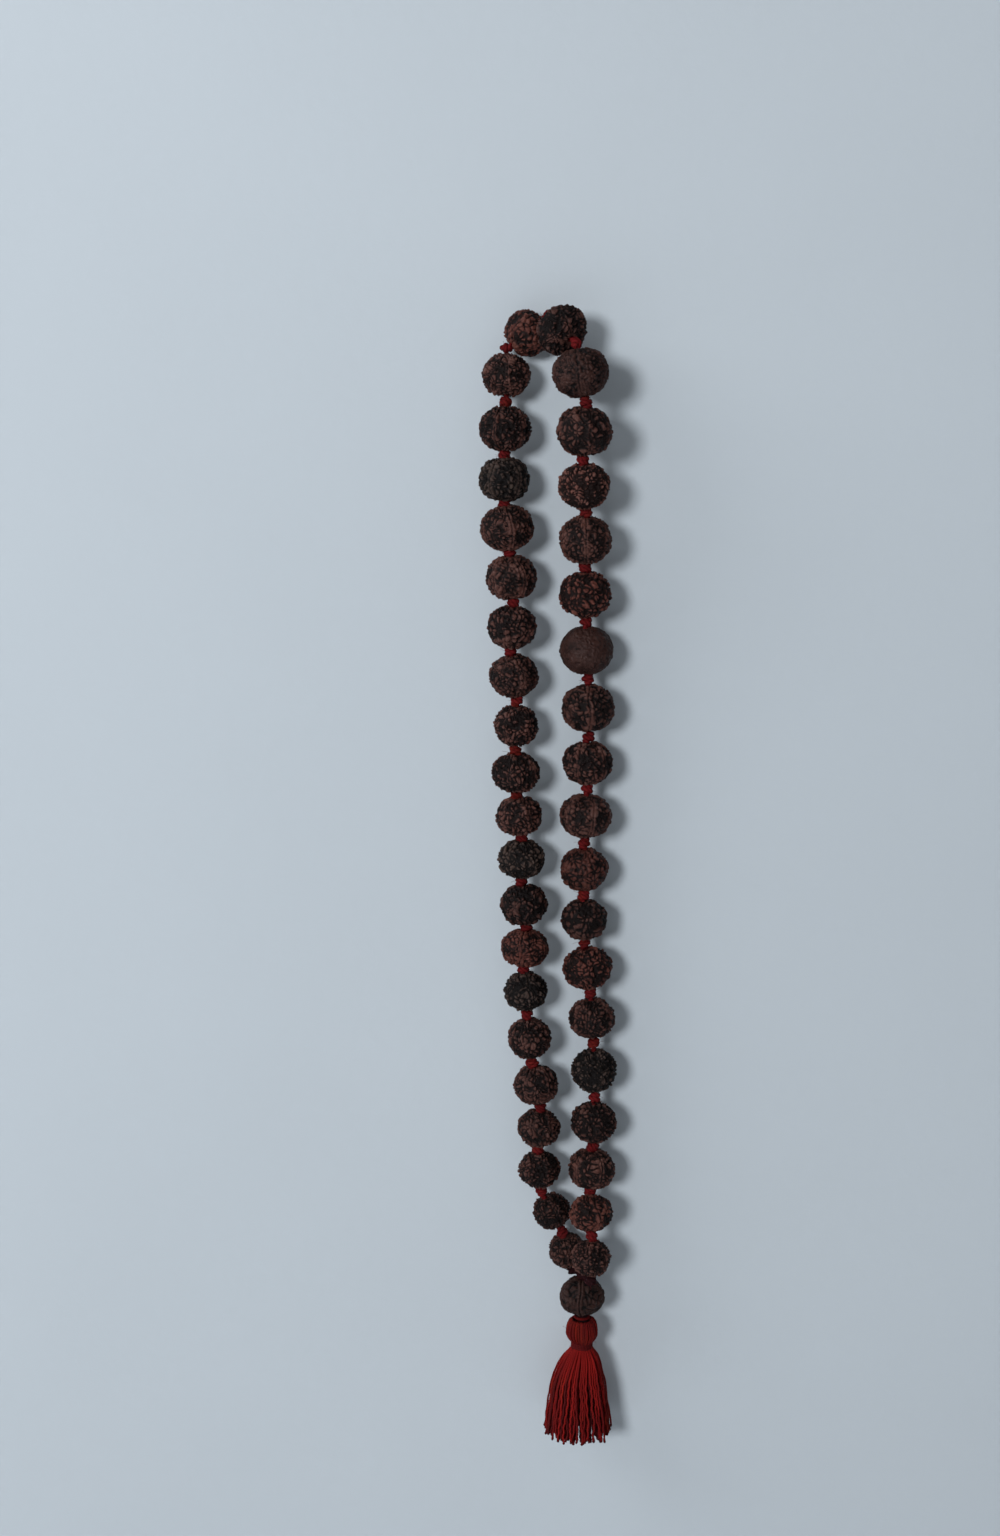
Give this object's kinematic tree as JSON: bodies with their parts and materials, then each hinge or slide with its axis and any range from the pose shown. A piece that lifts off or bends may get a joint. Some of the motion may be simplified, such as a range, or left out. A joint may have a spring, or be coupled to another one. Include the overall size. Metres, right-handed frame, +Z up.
{
  "type": "mala prayer beads",
  "caption": "Hanging mala of ridged brown rudraksha seeds on a knotted red cotton cord, drawn together at a guru bead with a red cotton tassel.",
  "frame": {"origin": "underside of the cord where it goes over the hook, between the two top beads", "axes": "+Z up along the hanging strands, +X to the viewer's right, -Y towards the viewer and away from the wall"},
  "size_m": [0.0577, 0.0418, 0.4735],
  "materials": {
    "rudraksha_dark": "dark brown seed, oiled, semi-matt",
    "rudraksha_reddish": "reddish brown seed, oiled, semi-matt",
    "rudraksha_grey": "greyish brown seed, matt",
    "cord_cotton": "twisted cotton, matt",
    "tassel_cotton": "mercerised cotton thread, soft sheen"
  },
  "bodies": {
    "cord_top": {"cord_top": "cord_cotton"},
    "cord_left_1": {"cord_left_1": "cord_cotton"},
    "cord_left_2": {"cord_left_2": "cord_cotton"},
    "cord_left_3": {"cord_left_3": "cord_cotton"},
    "cord_left_4": {"cord_left_4": "cord_cotton"},
    "cord_left_5": {"cord_left_5": "cord_cotton"},
    "cord_right_1": {"cord_right_1": "cord_cotton"},
    "cord_right_2": {"cord_right_2": "cord_cotton"},
    "cord_right_3": {"cord_right_3": "cord_cotton"},
    "cord_right_4": {"cord_right_4": "cord_cotton"},
    "cord_right_5": {"cord_right_5": "cord_cotton"},
    "cord_guru": {"cord_guru": "cord_cotton"},
    "tassel_loop": {"tassel_loop": "cord_cotton"},
    "tassel": {"tassel_head": "tassel_cotton", "tassel_binding": "tassel_cotton", "tassel_skirt": "tassel_cotton"},
    "bead_top_left": {"bead_top_left": "rudraksha_reddish"},
    "bead_top_right": {"bead_top_right": "rudraksha_dark"},
    "bead_left_1": {"bead_left_1": "rudraksha_dark"},
    "bead_left_2": {"bead_left_2": "rudraksha_dark"},
    "bead_left_3": {"bead_left_3": "rudraksha_grey"},
    "bead_left_4": {"bead_left_4": "rudraksha_dark"},
    "bead_left_5": {"bead_left_5": "rudraksha_dark"},
    "bead_left_6": {"bead_left_6": "rudraksha_dark"},
    "bead_left_7": {"bead_left_7": "rudraksha_dark"},
    "bead_left_8": {"bead_left_8": "rudraksha_dark"},
    "bead_left_9": {"bead_left_9": "rudraksha_dark"},
    "bead_left_10": {"bead_left_10": "rudraksha_dark"},
    "bead_left_11": {"bead_left_11": "rudraksha_grey"},
    "bead_left_12": {"bead_left_12": "rudraksha_dark"},
    "bead_left_13": {"bead_left_13": "rudraksha_reddish"},
    "bead_left_14": {"bead_left_14": "rudraksha_grey"},
    "bead_left_15": {"bead_left_15": "rudraksha_dark"},
    "bead_left_16": {"bead_left_16": "rudraksha_dark"},
    "bead_left_17": {"bead_left_17": "rudraksha_dark"},
    "bead_left_18": {"bead_left_18": "rudraksha_dark"},
    "bead_left_19": {"bead_left_19": "rudraksha_dark"},
    "bead_left_20": {"bead_left_20": "rudraksha_dark"},
    "bead_right_1": {"bead_right_1": "rudraksha_dark"},
    "bead_right_2": {"bead_right_2": "rudraksha_dark"},
    "bead_right_3": {"bead_right_3": "rudraksha_dark"},
    "bead_right_4": {"bead_right_4": "rudraksha_dark"},
    "bead_right_5": {"bead_right_5": "rudraksha_reddish"},
    "bead_right_6": {"bead_right_6": "rudraksha_dark"},
    "bead_right_7": {"bead_right_7": "rudraksha_dark"},
    "bead_right_8": {"bead_right_8": "rudraksha_dark"},
    "bead_right_9": {"bead_right_9": "rudraksha_dark"},
    "bead_right_10": {"bead_right_10": "rudraksha_reddish"},
    "bead_right_11": {"bead_right_11": "rudraksha_dark"},
    "bead_right_12": {"bead_right_12": "rudraksha_reddish"},
    "bead_right_13": {"bead_right_13": "rudraksha_dark"},
    "bead_right_14": {"bead_right_14": "rudraksha_grey"},
    "bead_right_15": {"bead_right_15": "rudraksha_dark"},
    "bead_right_16": {"bead_right_16": "rudraksha_dark"},
    "bead_right_17": {"bead_right_17": "rudraksha_reddish"},
    "bead_right_18": {"bead_right_18": "rudraksha_dark"},
    "guru_bead": {"guru_bead": "rudraksha_dark"}
  },
  "joints": [
    {"name": "loop_spread", "type": "hinge", "parent": "cord_top", "child": "cord_right_1", "pos_m": [0.0105, -0.0176, -0.0116], "axis": [0, -1, 0], "range_deg": [0, 18]},
    {"name": "tassel_swing_fore", "type": "hinge", "parent": "tassel_loop", "child": "tassel", "pos_m": [0.016, -0.003, -0.41565], "axis": [1, 0, 0], "range_deg": [-20, 20]},
    {"name": "tassel_swing_side", "type": "hinge", "parent": "cord_guru", "child": "tassel_loop", "pos_m": [0.016, -0.003, -0.41565], "axis": [0, 1, 0], "range_deg": [-20, 20]},
    {"name": "loop_right_bend_2", "type": "hinge", "parent": "cord_right_1", "child": "cord_right_2", "pos_m": [0.015, -0.007, -0.0985], "axis": [0, -1, 0], "range_deg": [-9.2, 0.2]},
    {"name": "loop_right_bend_3", "type": "hinge", "parent": "cord_right_2", "child": "cord_right_3", "pos_m": [0.017, -0.003, -0.1675], "axis": [0, -1, 0], "range_deg": [-9.2, 0.2]},
    {"name": "loop_right_bend_4", "type": "hinge", "parent": "cord_right_3", "child": "cord_right_4", "pos_m": [0.016, -0.003, -0.253], "axis": [0, -1, 0], "range_deg": [-9.2, 0.2]},
    {"name": "loop_right_bend_5", "type": "hinge", "parent": "cord_right_4", "child": "cord_right_5", "pos_m": [0.0205, -0.003, -0.319], "axis": [0, -1, 0], "range_deg": [-11.72, 0.2]},
    {"name": "guru_hang", "type": "hinge", "parent": "cord_right_5", "child": "cord_guru", "pos_m": [0.016, -0.003, -0.3966], "axis": [0, -1, 0], "range_deg": [-0.2, 20.72]},
    {"name": "loop_left_bend_1", "type": "hinge", "parent": "cord_top", "child": "cord_left_1", "pos_m": [-0.0162, 0.0008, -0.0129], "axis": [0, 1, 0], "range_deg": [-0.2, 18.2]},
    {"name": "loop_left_bend_2", "type": "hinge", "parent": "cord_left_1", "child": "cord_left_2", "pos_m": [-0.015, -0.003, -0.093], "axis": [0, 1, 0], "range_deg": [-11, 0.2]},
    {"name": "loop_left_bend_3", "type": "hinge", "parent": "cord_left_2", "child": "cord_left_3", "pos_m": [-0.0125, -0.003, -0.173], "axis": [0, 1, 0], "range_deg": [-9.2, 0.2]},
    {"name": "loop_left_bend_4", "type": "hinge", "parent": "cord_left_3", "child": "cord_left_4", "pos_m": [-0.008, -0.003, -0.2465], "axis": [0, 1, 0], "range_deg": [-9.2, 0.2]},
    {"name": "loop_left_bend_5", "type": "hinge", "parent": "cord_left_4", "child": "cord_left_5", "pos_m": [-0.002, -0.003, -0.323], "axis": [0, 1, 0], "range_deg": [-4.52, 0.2]},
    {"name": "turn_bead_top_left", "type": "hinge", "parent": "cord_top", "child": "bead_top_left", "pos_m": [-0.00805, 0.0027, -0.0071], "axis": [0.8004, 0.1866, 0.5696], "continuous": true},
    {"name": "turn_bead_top_right", "type": "hinge", "parent": "cord_top", "child": "bead_top_right", "pos_m": [0.0053, -0.01095, -0.00635], "axis": [-0.5231, 0.6689, 0.5281], "continuous": true},
    {"name": "turn_bead_left_1", "type": "hinge", "parent": "cord_left_1", "child": "bead_left_1", "pos_m": [-0.01635, -0.0009, -0.02345], "axis": [0.014, 0.1591, 0.9872], "continuous": true},
    {"name": "turn_bead_left_2", "type": "hinge", "parent": "cord_left_1", "child": "bead_left_2", "pos_m": [-0.01675, -0.0028, -0.04425], "axis": [0.0244, 0.0195, 0.9995], "continuous": true},
    {"name": "turn_bead_left_3", "type": "hinge", "parent": "cord_left_1", "child": "bead_left_3", "pos_m": [-0.017, -0.003, -0.064], "axis": [0, 0, 1], "continuous": true},
    {"name": "turn_bead_left_4", "type": "hinge", "parent": "cord_left_1", "child": "bead_left_4", "pos_m": [-0.016, -0.003, -0.08325], "axis": [-0.102, 0, 0.9948], "continuous": true},
    {"name": "turn_bead_left_5", "type": "hinge", "parent": "cord_left_2", "child": "bead_left_5", "pos_m": [-0.01425, -0.003, -0.103], "axis": [-0.0748, 0, 0.9972], "continuous": true},
    {"name": "turn_bead_left_6", "type": "hinge", "parent": "cord_left_2", "child": "bead_left_6", "pos_m": [-0.014, -0.003, -0.12275], "axis": [0.0512, 0, 0.9987], "continuous": true},
    {"name": "turn_bead_left_7", "type": "hinge", "parent": "cord_left_2", "child": "bead_left_7", "pos_m": [-0.01325, -0.003, -0.1425], "axis": [-0.124, 0, 0.9923], "continuous": true},
    {"name": "turn_bead_left_8", "type": "hinge", "parent": "cord_left_2", "child": "bead_left_8", "pos_m": [-0.01225, -0.003, -0.16275], "axis": [0.0244, 0, 0.9997], "continuous": true},
    {"name": "turn_bead_left_9", "type": "hinge", "parent": "cord_left_3", "child": "bead_left_9", "pos_m": [-0.01225, -0.003, -0.182], "axis": [-0.0278, 0, 0.9996], "continuous": true},
    {"name": "turn_bead_left_10", "type": "hinge", "parent": "cord_left_3", "child": "bead_left_10", "pos_m": [-0.011, -0.003, -0.19975], "axis": [-0.1135, 0, 0.9935], "continuous": true},
    {"name": "turn_bead_left_11", "type": "hinge", "parent": "cord_left_3", "child": "bead_left_11", "pos_m": [-0.01, -0.003, -0.21775], "axis": [0, 0, 1], "continuous": true},
    {"name": "turn_bead_left_12", "type": "hinge", "parent": "cord_left_3", "child": "bead_left_12", "pos_m": [-0.009, -0.003, -0.23675], "axis": [-0.102, 0, 0.9948], "continuous": true},
    {"name": "turn_bead_left_13", "type": "hinge", "parent": "cord_left_4", "child": "bead_left_13", "pos_m": [-0.0085, -0.003, -0.255], "axis": [0.0587, 0, 0.9983], "continuous": true},
    {"name": "turn_bead_left_14", "type": "hinge", "parent": "cord_left_4", "child": "bead_left_14", "pos_m": [-0.00825, -0.003, -0.27325], "axis": [-0.0767, 0, 0.9971], "continuous": true},
    {"name": "turn_bead_left_15", "type": "hinge", "parent": "cord_left_4", "child": "bead_left_15", "pos_m": [-0.0065, -0.003, -0.2935], "axis": [-0.0948, 0, 0.9955], "continuous": true},
    {"name": "turn_bead_left_16", "type": "hinge", "parent": "cord_left_4", "child": "bead_left_16", "pos_m": [-0.00375, -0.003, -0.3135], "axis": [-0.1812, 0, 0.9835], "continuous": true},
    {"name": "turn_bead_left_17", "type": "hinge", "parent": "cord_left_5", "child": "bead_left_17", "pos_m": [-0.0025, -0.0025, -0.33225], "axis": [0.0539, -0.0539, 0.9971], "continuous": true},
    {"name": "turn_bead_left_18", "type": "hinge", "parent": "cord_left_5", "child": "bead_left_18", "pos_m": [-0.00225, -0.001, -0.351], "axis": [-0.0783, -0.1044, 0.9915], "continuous": true},
    {"name": "turn_bead_left_19", "type": "hinge", "parent": "cord_left_5", "child": "bead_left_19", "pos_m": [0.003, 0.001, -0.37025], "axis": [-0.4173, -0.0927, 0.904], "continuous": true},
    {"name": "turn_bead_left_20", "type": "hinge", "parent": "cord_left_5", "child": "bead_left_20", "pos_m": [0.00975, 0.003, -0.3884], "axis": [-0.257, -0.1142, 0.9596], "continuous": true},
    {"name": "turn_bead_right_1", "type": "hinge", "parent": "cord_right_1", "child": "bead_right_1", "pos_m": [0.0125, -0.0183, -0.0228], "axis": [-0.1755, 0.0614, 0.9826], "continuous": true},
    {"name": "turn_bead_right_2", "type": "hinge", "parent": "cord_right_1", "child": "bead_right_2", "pos_m": [0.014, -0.017, -0.045], "axis": [0.0447, -0.1787, 0.9829], "continuous": true},
    {"name": "turn_bead_right_3", "type": "hinge", "parent": "cord_right_1", "child": "bead_right_3", "pos_m": [0.01425, -0.013, -0.06625], "axis": [-0.0716, -0.191, 0.979], "continuous": true},
    {"name": "turn_bead_right_4", "type": "hinge", "parent": "cord_right_1", "child": "bead_right_4", "pos_m": [0.015, -0.009, -0.0875], "axis": [0, -0.1789, 0.9839], "continuous": true},
    {"name": "turn_bead_right_5", "type": "hinge", "parent": "cord_right_2", "child": "bead_right_5", "pos_m": [0.01525, -0.0055, -0.1095], "axis": [-0.0225, -0.1351, 0.9906], "continuous": true},
    {"name": "turn_bead_right_6", "type": "hinge", "parent": "cord_right_2", "child": "bead_right_6", "pos_m": [0.016, -0.0035, -0.132], "axis": [-0.0434, -0.0434, 0.9981], "continuous": true},
    {"name": "turn_bead_right_7", "type": "hinge", "parent": "cord_right_2", "child": "bead_right_7", "pos_m": [0.01675, -0.003, -0.1555], "axis": [-0.0208, 0, 0.9998], "continuous": true},
    {"name": "turn_bead_right_8", "type": "hinge", "parent": "cord_right_3", "child": "bead_right_8", "pos_m": [0.01675, -0.003, -0.178], "axis": [0.0238, 0, 0.9997], "continuous": true},
    {"name": "turn_bead_right_9", "type": "hinge", "parent": "cord_right_3", "child": "bead_right_9", "pos_m": [0.016, -0.003, -0.19975], "axis": [0.0444, 0, 0.999], "continuous": true},
    {"name": "turn_bead_right_10", "type": "hinge", "parent": "cord_right_3", "child": "bead_right_10", "pos_m": [0.0155, -0.003, -0.222], "axis": [0, 0, 1], "continuous": true},
    {"name": "turn_bead_right_11", "type": "hinge", "parent": "cord_right_3", "child": "bead_right_11", "pos_m": [0.01575, -0.003, -0.243], "axis": [-0.025, 0, 0.9997], "continuous": true},
    {"name": "turn_bead_right_12", "type": "hinge", "parent": "cord_right_4", "child": "bead_right_12", "pos_m": [0.01725, -0.003, -0.2635], "axis": [-0.1182, 0, 0.993], "continuous": true},
    {"name": "turn_bead_right_13", "type": "hinge", "parent": "cord_right_4", "child": "bead_right_13", "pos_m": [0.01925, -0.003, -0.28475], "axis": [-0.0696, 0, 0.9976], "continuous": true},
    {"name": "turn_bead_right_14", "type": "hinge", "parent": "cord_right_4", "child": "bead_right_14", "pos_m": [0.02025, -0.003, -0.30725], "axis": [-0.0213, 0, 0.9998], "continuous": true},
    {"name": "turn_bead_right_15", "type": "hinge", "parent": "cord_right_5", "child": "bead_right_15", "pos_m": [0.02025, -0.003, -0.32975], "axis": [0.0232, 0, 0.9997], "continuous": true},
    {"name": "turn_bead_right_16", "type": "hinge", "parent": "cord_right_5", "child": "bead_right_16", "pos_m": [0.0195, -0.0035, -0.35], "axis": [0.0525, 0.0525, 0.9972], "continuous": true},
    {"name": "turn_bead_right_17", "type": "hinge", "parent": "cord_right_5", "child": "bead_right_17", "pos_m": [0.01925, -0.00725, -0.368], "axis": [-0.0275, 0.357, 0.9337], "continuous": true},
    {"name": "turn_bead_right_18", "type": "hinge", "parent": "cord_right_5", "child": "bead_right_18", "pos_m": [0.01925, -0.0115, -0.386], "axis": [0.0262, 0.1046, 0.9942], "continuous": true},
    {"name": "turn_guru_bead", "type": "hinge", "parent": "cord_guru", "child": "guru_bead", "pos_m": [0.016, -0.003, -0.40613], "axis": [0, 0, 1], "continuous": true}
  ],
  "couplings": [
    {"joint": "loop_right_bend_2", "follows": "loop_spread", "ratio": -0.5},
    {"joint": "loop_right_bend_3", "follows": "loop_spread", "ratio": -0.5},
    {"joint": "loop_right_bend_4", "follows": "loop_spread", "ratio": -0.5},
    {"joint": "loop_right_bend_5", "follows": "loop_spread", "ratio": -0.64},
    {"joint": "guru_hang", "follows": "loop_spread", "ratio": 1.14},
    {"joint": "loop_left_bend_1", "follows": "loop_spread", "ratio": 1},
    {"joint": "loop_left_bend_2", "follows": "loop_spread", "ratio": -0.6},
    {"joint": "loop_left_bend_3", "follows": "loop_spread", "ratio": -0.5},
    {"joint": "loop_left_bend_4", "follows": "loop_spread", "ratio": -0.5},
    {"joint": "loop_left_bend_5", "follows": "loop_spread", "ratio": -0.24}
  ]
}
